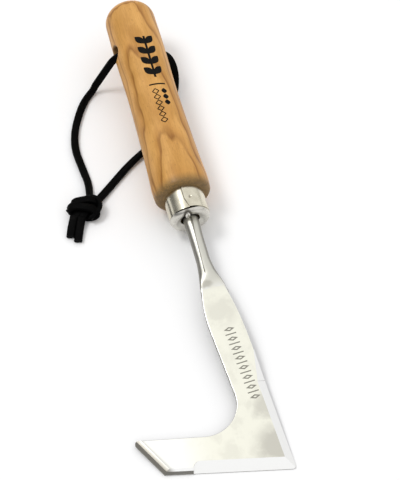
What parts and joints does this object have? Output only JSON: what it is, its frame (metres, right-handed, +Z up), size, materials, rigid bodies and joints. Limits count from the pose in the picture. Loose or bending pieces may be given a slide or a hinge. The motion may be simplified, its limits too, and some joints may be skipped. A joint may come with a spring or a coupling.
{
  "type": "patio weeding knife",
  "caption": "Hand patio knife with an L-shaped steel blade and shank in a ferruled, turned wooden handle with a knotted hanging lace.",
  "frame": {"origin": "on the table, under the middle of the tool as it lies (the lace left out)", "axes": "+Y from the cutting edge to the handle's butt, +Z up from the table, +X to the blade's heel side"},
  "size_m": [0.0821, 0.288, 0.0394],
  "materials": {
    "wood": "satin lacquer over turned hardwood",
    "nickel_cup": "dull bright nickel plate",
    "nickel_band": "bright nickel plate",
    "blade_steel": "satin, ground bevels",
    "weld_metal": "bright bead",
    "adhesive": "set two-part adhesive",
    "lace_leather": "black leather, slightly waxed"
  },
  "bodies": {
    "root": {"handle": "wood", "ferrule_cup": "nickel_cup", "ferrule_band": "nickel_band", "blade": "blade_steel", "tack_weld": "weld_metal", "tang_adhesive": "adhesive", "lace_loop": "lace_leather", "lace_knot": "lace_leather", "lace_tails": "lace_leather"}
  },
  "joints": []
}
